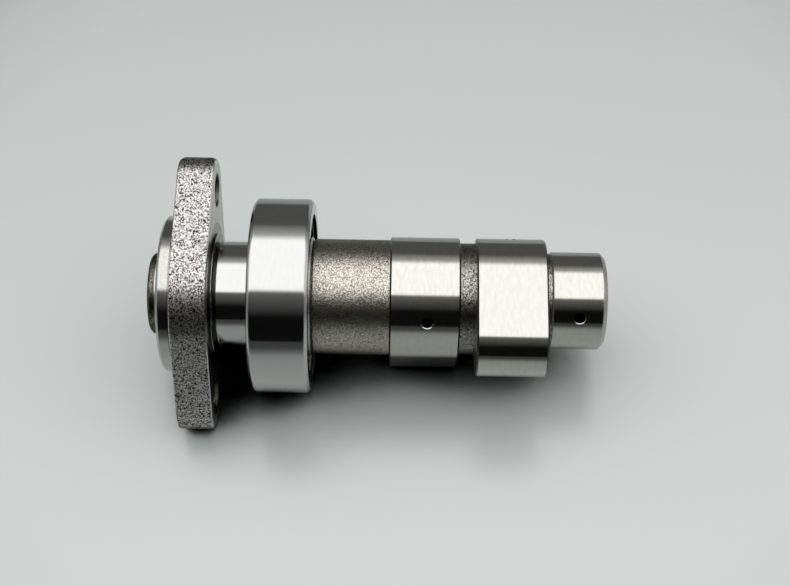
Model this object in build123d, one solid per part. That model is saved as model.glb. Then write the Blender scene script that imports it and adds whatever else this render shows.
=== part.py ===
from build123d import *
import math
import os

# A camshaft with a pressed-on sprocket flange and a ball bearing between the flange and the lobes.
# Millimetres. The shaft axis is X, the bearing's centre is the origin and +Z is up.
# "Left" is the sprocket end (-X) and "right" is the plain journal end (+X).
# Roll angles turn about +X, from +Y towards +Z, in degrees.

# ---------------------------------------------------------------- rolling angles, as it lies at rest
# The first lobe's nose sets the roll of the whole shaft. The others follow at fixed angles behind it.
LOBE_1_NOSE_ROLL = 263.5
LOBE_2_BEHIND_LOBE_1 = 98.0
FLANGE_BEHIND_LOBE_1 = 46.2
LOBE_1_OIL_BEHIND_ITS_NOSE = 118.0
LOBE_2_OIL_BEHIND_ITS_NOSE = 128.0
JOURNAL_OIL_BEHIND_LOBE_1 = 121.0
FIRST_BALL_ROLL = 90.0

# ---------------------------------------------------------------- ball bearing
BEARING_BORE_RADIUS = 8.5
BEARING_OUTER_RADIUS = 20.0
BEARING_WIDTH = 12.0
BALL_COUNT = 8
BALL_RADIUS = 3.3735
RACE_CLEARANCE = 0.02
RACE_CONFORMITY = 1.04
INNER_SHOULDER_INSIDE_PITCH = 2.0
OUTER_LAND_OUTSIDE_PITCH = 2.15
FACE_RECESS_STEP = 0.5
FACE_RECESS_DEPTH = 0.75
OUTER_CORNER_RADIUS = 1.0
BORE_CORNER_RADIUS = 0.7
SHOULDER_CHAMFER = 0.3

# ---------------------------------------------------------------- cage and rivets
CAGE_SHEET = 0.6
CAGE_RADIAL_WIDTH = 2.7
POCKET_CLEARANCE = 0.12
RIVET_RADIUS = 0.6
RIVET_HEAD_RADIUS = 1.0
RIVET_HEAD_HEIGHT = 0.4

# ---------------------------------------------------------------- sprocket flange
COLLAR_RADIUS = 11.0
COLLAR_LENGTH = 7.35
COLLAR_GROOVE_WIDTH = 0.5
COLLAR_GROOVE_DEPTH = 0.45
COLLAR_CHAMFER = 0.3
HUB_RING_RADIUS = 12.66
HUB_RING_HEIGHT = 0.65
HUB_RING_CHAMFER = 0.25
FLANGE_THICKNESS = 7.4
FLANGE_CENTRE_RADIUS = 16.9
FLANGE_EAR_RADIUS = 6.65
FLANGE_EDGE_CHAMFER = 0.2
EAR_TIP_ROUNDING = 1.2
BOLT_CIRCLE_RADIUS = 21.5
BOLT_HOLE_RADIUS = 3.05
BOLT_COUNTERSINK = 0.6
REGISTER_RADIUS = 16.0
REGISTER_HEIGHT = 2.35
REGISTER_CHAMFER = 0.55
RELIEF_GROOVE_WIDTH = 0.3
RELIEF_GROOVE_DEPTH = 0.35
RELIEF_GROOVE_FACE_WIDTH = 0.3
RELIEF_GROOVE_FACE_DEPTH = 0.2

# ---------------------------------------------------------------- camshaft
NOSE_BEYOND_SEAT = 1.45
NOSE_STEP_BELOW_SEAT = 0.2
NOSE_CHAMFER = 0.5
SEAT_PAST_REGISTER = 1.85
THRUST_SHOULDER_RADIUS = 10.6
THRUST_SHOULDER_LENGTH = 0.65
BODY_RADIUS = 11.85
BODY_LENGTH = 15.2
BODY_EDGE_ROUNDING = 0.5
LOBE_BASE_RADIUS = 12.5
LOBE_NOSE_RADIUS = 7.8
LOBE_LIFT = 6.4
LOBE_1_WIDTH = 14.2
LOBE_2_WIDTH = 14.2
LOBE_EDGE_CHAMFER = 0.35
NECK_RADIUS = 11.45
NECK_LENGTH = 3.2
END_NECK_RADIUS = 9.56
END_NECK_LENGTH = 1.0
JOURNAL_RADIUS = 9.98
JOURNAL_LENGTH = 11.15
JOURNAL_END_CHAMFER = 0.9
JOURNAL_INNER_CHAMFER = 0.35

# ---------------------------------------------------------------- oil ways
GALLERY_RADIUS = 2.5
GALLERY_PAST_LOBE_1_HOLE = 4.0
DRILL_POINT_ANGLE = 118.0
OIL_HOLE_RADIUS = 1.1
OIL_HOLE_COUNTERSINK = 0.3
LOBE_1_HOLE_FROM_LEFT = 7.6
LOBE_2_HOLE_FROM_LEFT = 7.15
JOURNAL_HOLE_FROM_LEFT = 5.6
PLUG_RADIUS = 3.5
PLUG_LENGTH = 3.0
PLUG_WALL = 0.8
PLUG_DEPTH = 1.2
PLUG_CHAMFER = 0.3
PLUG_SEAT_CHAMFER = 0.6
CENTRE_HOLE_RADIUS = 2.6
CENTRE_PILOT_RADIUS = 1.0
CENTRE_PILOT_DEPTH = 4.0

# ---------------------------------------------------------------- places along the shaft
bearing_left = -BEARING_WIDTH / 2
bearing_right = BEARING_WIDTH / 2
collar_left = bearing_left - COLLAR_LENGTH
flange_right = collar_left - HUB_RING_HEIGHT
flange_left = flange_right - FLANGE_THICKNESS
register_left = flange_left - REGISTER_HEIGHT
seat_left = register_left - SEAT_PAST_REGISTER
nose_left = seat_left - NOSE_BEYOND_SEAT
body_left = bearing_right + THRUST_SHOULDER_LENGTH
lobe_1_left = body_left + BODY_LENGTH
lobe_1_right = lobe_1_left + LOBE_1_WIDTH
lobe_2_left = lobe_1_right + NECK_LENGTH
lobe_2_right = lobe_2_left + LOBE_2_WIDTH
journal_left = lobe_2_right + END_NECK_LENGTH
journal_right = journal_left + JOURNAL_LENGTH
lobe_1_hole_x = lobe_1_left + LOBE_1_HOLE_FROM_LEFT
lobe_2_hole_x = lobe_2_left + LOBE_2_HOLE_FROM_LEFT
journal_hole_x = journal_left + JOURNAL_HOLE_FROM_LEFT
plug_left = journal_right - PLUG_DEPTH - PLUG_LENGTH

# ---------------------------------------------------------------- radii and rolls that follow
nose_radius = BEARING_BORE_RADIUS - NOSE_STEP_BELOW_SEAT
pitch_radius = (BEARING_BORE_RADIUS + BEARING_OUTER_RADIUS) / 2
inner_shoulder_radius = pitch_radius - INNER_SHOULDER_INSIDE_PITCH
outer_land_radius = pitch_radius + OUTER_LAND_OUTSIDE_PITCH
face_recess_radius = outer_land_radius + FACE_RECESS_STEP
lobe_nose_offset = LOBE_BASE_RADIUS + LOBE_LIFT - LOBE_NOSE_RADIUS
lobe_2_nose_roll = LOBE_1_NOSE_ROLL - LOBE_2_BEHIND_LOBE_1
lobe_1_oil_roll = LOBE_1_NOSE_ROLL - LOBE_1_OIL_BEHIND_ITS_NOSE
lobe_2_oil_roll = lobe_2_nose_roll - LOBE_2_OIL_BEHIND_ITS_NOSE
journal_oil_roll = LOBE_1_NOSE_ROLL - JOURNAL_OIL_BEHIND_LOBE_1
flange_roll = LOBE_1_NOSE_ROLL - FLANGE_BEHIND_LOBE_1

OPPOSITE_SIDES = (-1, 1)


# ---------------------------------------------------------------- helpers
def turned(points):
    """The solid that a closed outline of (x, radius) points makes when it turns about the shaft axis."""
    return revolve(make_face(Polyline(*points, close=True)), Axis.X)


def rolled(shape, angle):
    """The shape turned about the shaft axis."""
    return shape.rotate(Axis.X, angle)


def cylinder_along_x(radius, x_start, x_end, y=0.0, z=0.0):
    """A plain cylinder that runs from x_start to x_end."""
    start = Plane(origin=(x_start, y, z), x_dir=(0, 1, 0), z_dir=(1, 0, 0))
    return extrude(start * Circle(radius), amount=x_end - x_start)


def cone_along_x(start_radius, end_radius, x_start, x_end, y=0.0, z=0.0):
    """A cone frustum that runs from x_start to x_end."""
    frustum = Cone(start_radius, end_radius, x_end - x_start, align=(Align.CENTER, Align.CENTER, Align.MIN))
    return Plane(origin=(x_start, y, z), x_dir=(0, 1, 0), z_dir=(1, 0, 0)) * frustum


def cam_profile():
    """The outline of a lobe with its nose along +Y: base circle, nose circle and their straight flanks."""
    base = Circle(LOBE_BASE_RADIUS)
    nose = Pos(lobe_nose_offset, 0) * Circle(LOBE_NOSE_RADIUS)
    return make_hull((base + nose).edges())


def lobe(x_start, width, nose_roll):
    """One cam lobe, with a fine chamfer round both ends."""
    block = extrude(Plane.YZ.offset(x_start) * cam_profile(), amount=width)
    rims = block.edges().filter_by(lambda rim: rim.bounding_box().size.X < LOBE_EDGE_CHAMFER)
    return rolled(chamfer(rims, LOBE_EDGE_CHAMFER), nose_roll)


def oil_hole(x, roll, surface_radius):
    """The drill that makes a cross hole from the surface to the gallery, with its countersink."""
    drill = Cylinder(OIL_HOLE_RADIUS, surface_radius * 2, align=(Align.CENTER, Align.CENTER, Align.MIN))
    sink_radius = OIL_HOLE_RADIUS + OIL_HOLE_COUNTERSINK
    sink = Cone(OIL_HOLE_RADIUS, sink_radius, OIL_HOLE_COUNTERSINK, align=(Align.CENTER, Align.CENTER, Align.MIN))
    sink_clear = Cylinder(sink_radius, surface_radius, align=(Align.CENTER, Align.CENTER, Align.MIN))
    sink_floor = surface_radius - OIL_HOLE_COUNTERSINK
    tool = drill + Pos(0, 0, sink_floor) * sink + Pos(0, 0, surface_radius) * sink_clear
    return rolled(Pos(x, 0, 0) * tool, roll - 90)


def point_on_pitch(angle):
    """A point of the ball pitch circle, as (y, z)."""
    turn = math.radians(angle)
    return pitch_radius * math.cos(turn), pitch_radius * math.sin(turn)


def ball_angle(index):
    """The roll angle of a ball's centre."""
    return FIRST_BALL_ROLL + index * 360 / BALL_COUNT


# ---------------------------------------------------------------- camshaft
def make_camshaft():
    """The casting: nose, seat, thrust shoulder, body, two lobes, necks and end journal."""
    end_chamfer_left = journal_right - JOURNAL_END_CHAMFER
    shaft = turned([
        (nose_left, 0),
        (nose_left, nose_radius - NOSE_CHAMFER),
        (nose_left + NOSE_CHAMFER, nose_radius),
        (seat_left, nose_radius),
        (seat_left, BEARING_BORE_RADIUS),
        (bearing_right, BEARING_BORE_RADIUS),
        (bearing_right, THRUST_SHOULDER_RADIUS),
        (body_left, THRUST_SHOULDER_RADIUS),
        (body_left, BODY_RADIUS - BODY_EDGE_ROUNDING),
        (body_left + BODY_EDGE_ROUNDING, BODY_RADIUS),
        (lobe_1_left, BODY_RADIUS),
        (lobe_1_left, NECK_RADIUS),
        (lobe_2_left, NECK_RADIUS),
        (lobe_2_left, END_NECK_RADIUS),
        (journal_left, END_NECK_RADIUS),
        (journal_left, JOURNAL_RADIUS - JOURNAL_INNER_CHAMFER),
        (journal_left + JOURNAL_INNER_CHAMFER, JOURNAL_RADIUS),
        (end_chamfer_left, JOURNAL_RADIUS),
        (journal_right, JOURNAL_RADIUS - JOURNAL_END_CHAMFER),
        (journal_right, 0),
    ])
    shaft += lobe(lobe_1_left, LOBE_1_WIDTH, LOBE_1_NOSE_ROLL)
    shaft += lobe(lobe_2_left, LOBE_2_WIDTH, lobe_2_nose_roll)

    gallery_left = lobe_1_hole_x - GALLERY_PAST_LOBE_1_HOLE
    drill_point = GALLERY_RADIUS / math.tan(math.radians(DRILL_POINT_ANGLE / 2))
    shaft -= turned([
        (gallery_left - drill_point, 0),
        (gallery_left, GALLERY_RADIUS),
        (plug_left, GALLERY_RADIUS),
        (plug_left, PLUG_RADIUS),
        (journal_right - PLUG_SEAT_CHAMFER, PLUG_RADIUS),
        (journal_right, PLUG_RADIUS + PLUG_SEAT_CHAMFER),
        (journal_right, 0),
    ])
    shaft -= turned([
        (nose_left, 0),
        (nose_left, CENTRE_HOLE_RADIUS),
        (nose_left + CENTRE_HOLE_RADIUS - CENTRE_PILOT_RADIUS, CENTRE_PILOT_RADIUS),
        (nose_left + CENTRE_PILOT_DEPTH, CENTRE_PILOT_RADIUS),
        (nose_left + CENTRE_PILOT_DEPTH, 0),
    ])
    shaft -= oil_hole(lobe_1_hole_x, lobe_1_oil_roll, LOBE_BASE_RADIUS)
    shaft -= oil_hole(lobe_2_hole_x, lobe_2_oil_roll, LOBE_BASE_RADIUS)
    shaft -= oil_hole(journal_hole_x, journal_oil_roll, JOURNAL_RADIUS)
    return shaft


def make_oil_gallery_plug():
    """The pressed cup that closes the gallery, open to the right."""
    plug_right = plug_left + PLUG_LENGTH
    return turned([
        (plug_left, 0),
        (plug_left, PLUG_RADIUS - PLUG_CHAMFER),
        (plug_left + PLUG_CHAMFER, PLUG_RADIUS),
        (plug_right, PLUG_RADIUS),
        (plug_right, PLUG_RADIUS - PLUG_WALL),
        (plug_left + PLUG_WALL, PLUG_RADIUS - PLUG_WALL),
        (plug_left + PLUG_WALL, 0),
    ])


# ---------------------------------------------------------------- sprocket flange
def relief_groove():
    """The cutter of the groove in the corner between the register and the flange's face."""
    groove_left = flange_left - RELIEF_GROOVE_WIDTH
    groove_right = flange_left + RELIEF_GROOVE_FACE_DEPTH
    outer = cylinder_along_x(REGISTER_RADIUS + RELIEF_GROOVE_FACE_WIDTH, groove_left, groove_right)
    return outer - cylinder_along_x(REGISTER_RADIUS - RELIEF_GROOVE_DEPTH, groove_left, groove_right)


def make_sprocket_flange():
    """The hub: register boss, oval flange with two tapped holes, low ring and collar, on one bore.

    A relief groove at the register's root lets the sprocket seat square on the flange's face.
    """
    centre = Circle(FLANGE_CENTRE_RADIUS)
    ears = [Pos(side * BOLT_CIRCLE_RADIUS, 0) * Circle(FLANGE_EAR_RADIUS) for side in OPPOSITE_SIDES]
    outline = make_hull((centre + ears).edges())
    plate = extrude(Plane.YZ.offset(flange_left) * outline, amount=FLANGE_THICKNESS)
    rims = plate.edges().filter_by(lambda rim: rim.bounding_box().size.X < FLANGE_EDGE_CHAMFER)
    plate = chamfer(rims, FLANGE_EDGE_CHAMFER)
    tip_radius = BOLT_CIRCLE_RADIUS + FLANGE_EAR_RADIUS
    blank = cylinder_along_x(tip_radius, flange_left, flange_right)
    plate = plate & fillet(blank.edges().filter_by(GeomType.CIRCLE), EAR_TIP_ROUNDING)
    plate = rolled(plate, flange_roll)

    groove_right = collar_left + COLLAR_GROOVE_WIDTH
    hub = turned([
        (register_left, 0),
        (register_left, REGISTER_RADIUS - REGISTER_CHAMFER),
        (register_left + REGISTER_CHAMFER, REGISTER_RADIUS),
        (flange_left, REGISTER_RADIUS),
        (flange_left, HUB_RING_RADIUS),
        (flange_right, HUB_RING_RADIUS),
        (collar_left - HUB_RING_CHAMFER, HUB_RING_RADIUS),
        (collar_left, HUB_RING_RADIUS - HUB_RING_CHAMFER),
        (collar_left, COLLAR_RADIUS - COLLAR_GROOVE_DEPTH),
        (groove_right, COLLAR_RADIUS - COLLAR_GROOVE_DEPTH),
        (groove_right, COLLAR_RADIUS),
        (bearing_left - COLLAR_CHAMFER, COLLAR_RADIUS),
        (bearing_left, COLLAR_RADIUS - COLLAR_CHAMFER),
        (bearing_left, 0),
    ])
    flange = hub + plate
    flange -= relief_groove()
    flange -= cylinder_along_x(BEARING_BORE_RADIUS, register_left, bearing_left)
    turn = math.radians(flange_roll)
    wide = BOLT_HOLE_RADIUS + BOLT_COUNTERSINK
    for side in OPPOSITE_SIDES:
        y = side * BOLT_CIRCLE_RADIUS * math.cos(turn)
        z = side * BOLT_CIRCLE_RADIUS * math.sin(turn)
        flange -= cylinder_along_x(BOLT_HOLE_RADIUS, flange_left, flange_right, y, z)
        flange -= cone_along_x(wide, BOLT_HOLE_RADIUS, flange_left, flange_left + BOLT_COUNTERSINK, y, z)
        flange -= cone_along_x(BOLT_HOLE_RADIUS, wide, flange_right - BOLT_COUNTERSINK, flange_right, y, z)
    return flange


# ---------------------------------------------------------------- ball bearing
def race_torus(bottom_radius, side):
    """The ring-shaped cutter of a raceway. side is 1 for the inner ring's groove and -1 for the outer's."""
    groove_radius = BALL_RADIUS * RACE_CONFORMITY
    return Rot(0, 90, 0) * Torus(bottom_radius + side * groove_radius, groove_radius)


def make_bearing_outer_ring():
    """The outer ring, with rounded outer corners, a shallow recess at each face and its raceway."""
    ring = cylinder_along_x(BEARING_OUTER_RADIUS, bearing_left, bearing_right)
    ring = fillet(ring.edges().filter_by(GeomType.CIRCLE), OUTER_CORNER_RADIUS)
    ring -= cylinder_along_x(outer_land_radius, bearing_left, bearing_right)
    ring -= cylinder_along_x(face_recess_radius, bearing_left, bearing_left + FACE_RECESS_DEPTH)
    ring -= cylinder_along_x(face_recess_radius, bearing_right - FACE_RECESS_DEPTH, bearing_right)
    return ring - race_torus(pitch_radius + BALL_RADIUS + RACE_CLEARANCE, -1)


def make_bearing_inner_ring():
    """The inner ring, with rounded bore corners and its raceway."""
    ring = cylinder_along_x(inner_shoulder_radius, bearing_left, bearing_right)
    ring = chamfer(ring.edges().filter_by(GeomType.CIRCLE), SHOULDER_CHAMFER)
    ring -= cylinder_along_x(BEARING_BORE_RADIUS, bearing_left, bearing_right)
    bore_rims = ring.edges().filter_by(GeomType.CIRCLE)
    bore_rims = bore_rims.filter_by(lambda rim: abs(rim.radius - BEARING_BORE_RADIUS) < SHOULDER_CHAMFER)
    ring = fillet(bore_rims, BORE_CORNER_RADIUS)
    return ring - race_torus(pitch_radius - BALL_RADIUS - RACE_CLEARANCE, 1)


def make_ball(index):
    """One ball, in the middle of both raceways."""
    y, z = point_on_pitch(ball_angle(index))
    return Pos(0, y, z) * Sphere(BALL_RADIUS)


def make_cage_half(side):
    """One pressed half of the cage: flat tabs between the balls, and a round pocket behind each ball."""
    inner = pitch_radius - CAGE_RADIAL_WIDTH / 2
    outer = pitch_radius + CAGE_RADIAL_WIDTH / 2
    pocket_radius = BALL_RADIUS + POCKET_CLEARANCE
    reach = pocket_radius + CAGE_SHEET
    near = min(0, side * reach)
    sleeve = cylinder_along_x(outer, near, near + reach) - cylinder_along_x(inner, near, near + reach)
    tab_near = min(0, side * CAGE_SHEET)
    tabs = cylinder_along_x(outer, tab_near, tab_near + CAGE_SHEET)
    tabs -= cylinder_along_x(inner, tab_near, tab_near + CAGE_SHEET)
    centres = [point_on_pitch(ball_angle(index)) for index in range(BALL_COUNT)]
    bulges = [Pos(0, y, z) * Sphere(reach) for y, z in centres]
    half = (sleeve & (Part() + bulges)) + tabs
    half -= [Pos(0, y, z) * Sphere(pocket_radius) for y, z in centres]
    half -= [rivet_hole(index) for index in range(BALL_COUNT)]
    return half


# ---------------------------------------------------------------- cage rivets
def rivet_place(index):
    """The rivet between one ball and the next, as (y, z)."""
    return point_on_pitch(ball_angle(index + 0.5))


def rivet_hole(index):
    """The cutter of a rivet's hole through both sheets."""
    y, z = rivet_place(index)
    return cylinder_along_x(RIVET_RADIUS, -CAGE_SHEET, CAGE_SHEET, y, z)


def make_cage_rivets():
    """Eight separate rivets, each with a domed head at both ends."""
    rivets = []
    for index in range(BALL_COUNT):
        y, z = rivet_place(index)
        rivet = turned([
            (-CAGE_SHEET - RIVET_HEAD_HEIGHT, 0),
            (-CAGE_SHEET - RIVET_HEAD_HEIGHT, RIVET_RADIUS),
            (-CAGE_SHEET, RIVET_HEAD_RADIUS),
            (-CAGE_SHEET, RIVET_RADIUS),
            (CAGE_SHEET, RIVET_RADIUS),
            (CAGE_SHEET, RIVET_HEAD_RADIUS),
            (CAGE_SHEET + RIVET_HEAD_HEIGHT, RIVET_RADIUS),
            (CAGE_SHEET + RIVET_HEAD_HEIGHT, 0),
        ])
        rivets.append(Pos(0, y, z) * rivet)
    return Compound(children=[rivet.solids()[0] for rivet in rivets])


# ---------------------------------------------------------------- the parts, one file each
os.makedirs("parts", exist_ok=True)

nodes = {
    "camshaft": make_camshaft(),
    "oil_gallery_plug": make_oil_gallery_plug(),
    "sprocket_flange": make_sprocket_flange(),
    "bearing_outer_ring": make_bearing_outer_ring(),
    "bearing_inner_ring": make_bearing_inner_ring(),
    "cage_half_left": make_cage_half(-1),
    "cage_half_right": make_cage_half(1),
    "cage_rivets": make_cage_rivets(),
}
for index in range(BALL_COUNT):
    nodes[f"bearing_ball_{index + 1}"] = make_ball(index)

for name, shape in nodes.items():
    export_step(shape, f"parts/{name}.step")
    print(f"{name}: {shape.volume:.1f} mm3")
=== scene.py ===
# %% [markdown]
# # A short camshaft with its sprocket flange and its ball bearing
# A camshaft turns inside an engine's head, and its egg-shaped lobes push the valves open. This one is short:
# at the left a flange carries the timing sprocket, next to it a ball bearing carries the shaft, then come a
# plain cast body, two lobes, and a small ground journal at the right end. The CAD model already has every
# piece at its true size. The lesson gives those pieces the surfaces that a workshop leaves on them.
# The first cell loads the CAD model as a fixed frame. Nothing in it is ever moved or reshaped: a new piece
# is built in the same place and stands for the old one.

import math

import bpy
from mathutils import Matrix, Vector


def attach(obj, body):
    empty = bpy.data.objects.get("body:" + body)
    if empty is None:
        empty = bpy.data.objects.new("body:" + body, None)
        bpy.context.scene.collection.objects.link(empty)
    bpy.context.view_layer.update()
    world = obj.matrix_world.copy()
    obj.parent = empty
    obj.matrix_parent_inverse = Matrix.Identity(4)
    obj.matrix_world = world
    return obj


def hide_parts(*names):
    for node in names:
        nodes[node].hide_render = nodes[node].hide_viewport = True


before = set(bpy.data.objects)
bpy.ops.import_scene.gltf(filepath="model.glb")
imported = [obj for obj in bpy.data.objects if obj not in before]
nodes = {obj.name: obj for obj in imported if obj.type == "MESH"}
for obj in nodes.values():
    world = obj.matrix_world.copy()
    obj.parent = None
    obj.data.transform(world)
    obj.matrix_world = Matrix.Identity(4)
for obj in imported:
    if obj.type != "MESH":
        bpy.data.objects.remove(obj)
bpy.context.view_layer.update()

# %% [markdown]
# ## The sizes to work from
# The shaft's axis is X, the middle of the bearing is the origin, and Z is up. A maker thinks of this part in
# millimetres, so the sizes are written that way and turned into Blender's metres in one place. Every place
# along the shaft follows from the one before it, just as the pieces stack up on the real shaft.

# %% Sizes in millimetres
MM = 0.001

BORE_RADIUS = 8.5
BEARING_RADIUS = 20.0
BEARING_HALF = 6.0

COLLAR_RADIUS = 11.0
REGISTER_RADIUS = 16.0
HUB_RING_RADIUS = 12.66

BODY_RADIUS = 11.85
NECK_RADIUS = 11.45
END_NECK_RADIUS = 9.56
JOURNAL_RADIUS = 9.98

LOBE_BASE = 12.5
LOBE_NOSE = 7.8
LOBE_OFFSET = 11.1
LOBE_CHAMFER = 0.35

COLLAR_LENGTH = 7.35
HUB_RING_LENGTH = 0.65
PLATE_LENGTH = 7.4
REGISTER_LENGTH = 2.75
SEAT_LENGTH = 1.45
NOSE_LENGTH = 1.45
SKIN_GAP = 0.15
SHOULDER_LENGTH = 0.65
BODY_LENGTH = 15.2
LOBE_LENGTH = 14.2
NECK_LENGTH = 3.2
END_NECK_LENGTH = 1.0
JOURNAL_LENGTH = 11.15

collar_left = -BEARING_HALF - COLLAR_LENGTH
flange_right = collar_left - HUB_RING_LENGTH
flange_left = flange_right - PLATE_LENGTH
register_left = flange_left - REGISTER_LENGTH
seat_left = register_left - SEAT_LENGTH
nose_left = seat_left - NOSE_LENGTH
shoulder_left = BEARING_HALF + SKIN_GAP
body_left = BEARING_HALF + SHOULDER_LENGTH
lobe_1_left = body_left + BODY_LENGTH
lobe_1_right = lobe_1_left + LOBE_LENGTH
lobe_2_left = lobe_1_right + NECK_LENGTH
lobe_2_right = lobe_2_left + LOBE_LENGTH
journal_left = lobe_2_right + END_NECK_LENGTH
journal_right = journal_left + JOURNAL_LENGTH
print("nose", round(nose_left, 2), "bearing", BEARING_HALF, "journal end", round(journal_right, 2))

# %% [markdown]
# ## Rolls: how each piece is turned about the shaft
# A roll angle starts at +Y and turns towards +Z. The first lobe's nose points almost straight down, the
# second lobe follows 98 degrees behind it, and the flange's ears and the oil holes have their own rolls.

# %% Roll angles in degrees
LOBE_1_ROLL = 263.5
LOBE_2_ROLL = LOBE_1_ROLL - 98.0
FLANGE_ROLL = LOBE_1_ROLL - 46.2
LOBE_1_OIL_ROLL = LOBE_1_ROLL - 118.0
LOBE_2_OIL_ROLL = LOBE_2_ROLL - 128.0
JOURNAL_OIL_ROLL = LOBE_1_ROLL - 121.0
print("ears at", FLANGE_ROLL, "and", FLANGE_ROLL - 180)

# %% [markdown]
# ## Finishes built from nodes
# Every surface here is steel or iron, so the finishes differ in three things only: how bright the metal is,
# how rough it is, and what marks the tool left. A picture of metal could be wrapped round the part, but it
# would blur up close and show a seam. Noise that is worked out from the place in space has no seam and no
# smallest size, so all the finishes use it. The first helpers start a metal and measure places in mm.

# %% Start a metal finish
def start_metal(name, colour, roughness):
    """A new metal material, with its node tree and its shader."""
    material = bpy.data.materials.new(name)
    material.use_nodes = True
    tree = material.node_tree
    shader = tree.nodes["Principled BSDF"]
    shader.inputs["Metallic"].default_value = 1.0
    shader.inputs["Base Color"].default_value = (*colour, 1.0)
    shader.inputs["Roughness"].default_value = roughness
    return material, tree, shader


def place_in_mm(tree, stretch):
    """The place on the piece in millimetres, multiplied by a stretch along each axis."""
    where = tree.nodes.new("ShaderNodeTexCoord")
    scale = tree.nodes.new("ShaderNodeVectorMath")
    scale.operation = "MULTIPLY"
    scale.inputs[1].default_value = [1000 * amount for amount in stretch]
    tree.links.new(where.outputs["Object"], scale.inputs[0])
    return scale.outputs["Vector"]


def radius_in_mm(tree, stretch, around):
    """A place whose first part is the distance from the shaft's axis, for marks that run in circles."""
    where = tree.nodes.new("ShaderNodeTexCoord")
    flat = tree.nodes.new("ShaderNodeVectorMath")
    flat.operation = "MULTIPLY"
    flat.inputs[1].default_value = (0.0, 1000.0, 1000.0)
    distance = tree.nodes.new("ShaderNodeVectorMath")
    distance.operation = "LENGTH"
    spread = tree.nodes.new("ShaderNodeMath")
    spread.operation = "MULTIPLY"
    spread.inputs[1].default_value = stretch
    slow = tree.nodes.new("ShaderNodeVectorMath")
    slow.operation = "MULTIPLY"
    slow.inputs[1].default_value = (0.0, around, around)
    join = tree.nodes.new("ShaderNodeCombineXYZ")
    total = tree.nodes.new("ShaderNodeVectorMath")
    total.operation = "ADD"
    tree.links.new(where.outputs["Object"], flat.inputs[0])
    tree.links.new(flat.outputs["Vector"], distance.inputs[0])
    tree.links.new(distance.outputs["Value"], spread.inputs[0])
    tree.links.new(spread.outputs["Value"], join.inputs["X"])
    tree.links.new(flat.outputs["Vector"], slow.inputs[0])
    tree.links.new(join.outputs["Vector"], total.inputs[0])
    tree.links.new(slow.outputs["Vector"], total.inputs[1])
    return total.outputs["Vector"]


print("marks are measured in mm, and one is", MM, "m")

# %% Noise, blends and relief
BUSY_LOW = 0.3
BUSY_HIGH = 0.7


def grain(tree, place, detail, roughness=0.5):
    """Noise at a place: a soft value from 0 to 1 with detail finer steps in it."""
    noise = tree.nodes.new("ShaderNodeTexNoise")
    noise.inputs["Scale"].default_value = 1.0
    noise.inputs["Detail"].default_value = detail
    noise.inputs["Roughness"].default_value = roughness
    tree.links.new(place, noise.inputs["Vector"])
    return noise.outputs["Fac"]


def blend_over(tree, value, steps):
    """Turns a value into a colour, through (position, colour) steps."""
    ramp = tree.nodes.new("ShaderNodeValToRGB")
    elements = ramp.color_ramp.elements
    while len(elements) < len(steps):
        elements.new(1.0)
    for element, (position, colour) in zip(elements, steps):
        element.position = position
        element.color = (*colour, 1.0)
    tree.links.new(value, ramp.inputs["Fac"])
    return ramp.outputs["Color"]


def range_over(tree, value, low, high):
    """Spreads the busy middle of a noise over low to high."""
    spread = tree.nodes.new("ShaderNodeMapRange")
    spread.inputs["From Min"].default_value = BUSY_LOW
    spread.inputs["From Max"].default_value = BUSY_HIGH
    spread.inputs["To Min"].default_value = low
    spread.inputs["To Max"].default_value = high
    tree.links.new(value, spread.inputs["Value"])
    return spread.outputs["Result"]


def relief(tree, shader, height, depth_mm, under=None):
    """Lets a height stand out of the surface by a depth, on top of another relief if there is one."""
    bump = tree.nodes.new("ShaderNodeBump")
    bump.inputs["Strength"].default_value = 1.0
    bump.inputs["Distance"].default_value = depth_mm * MM
    tree.links.new(height, bump.inputs["Height"])
    if under is not None:
        tree.links.new(under, bump.inputs["Normal"])
    tree.links.new(bump.outputs["Normal"], shader.inputs["Normal"])
    return bump.outputs["Normal"]


print("the busy part of a noise runs from", BUSY_LOW, "to", BUSY_HIGH)

# %% [markdown]
# ## Ground steel
# The bearing's outside, the collar, the lobes and the journal are ground: a wheel runs round them and leaves
# hair-fine lines that follow the turn. The metal still mirrors the room, and the lines only roughen the
# edges of what it mirrors. Noise stretched round the shaft and squeezed along it makes such lines.

# %% The ground finish
EDGE_TINT = (0.8, 0.8, 0.8)


def ground_steel(name, colour, roughness, line_depth, stain=0.04):
    """Bright ground metal with fine lines round the shaft."""
    material, tree, shader = start_metal(name, colour, roughness)
    shader.inputs["Specular Tint"].default_value = (*EDGE_TINT, 1.0)
    lines = grain(tree, place_in_mm(tree, (6.0, 0.2, 0.2)), 4.0, 0.7)
    waves = grain(tree, place_in_mm(tree, (1.6, 0.5, 0.5)), 2.0)
    tree.links.new(range_over(tree, lines, roughness * 0.8, roughness * 1.3), shader.inputs["Roughness"])
    paler = [min(1.0, part * (1 + stain)) for part in colour]
    darker = [part * (1 - stain) for part in colour]
    tint = blend_over(tree, waves, [(0.35, darker), (0.65, paler)])
    tree.links.new(tint, shader.inputs["Base Color"])
    under = relief(tree, shader, waves, line_depth)
    relief(tree, shader, lines, line_depth * 0.5, under)
    return material


polished_steel = ground_steel("polished_bearing_steel", (0.45, 0.452, 0.44), 0.09, 0.0004, 0.012)
journal_steel = ground_steel("ground_journal_iron", (0.455, 0.45, 0.42), 0.10, 0.0006)
lobe_steel = ground_steel("ground_lobe_iron", (0.455, 0.45, 0.42), 0.10, 0.0006)
print("ground finishes:", polished_steel.name, journal_steel.name, lobe_steel.name)

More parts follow.
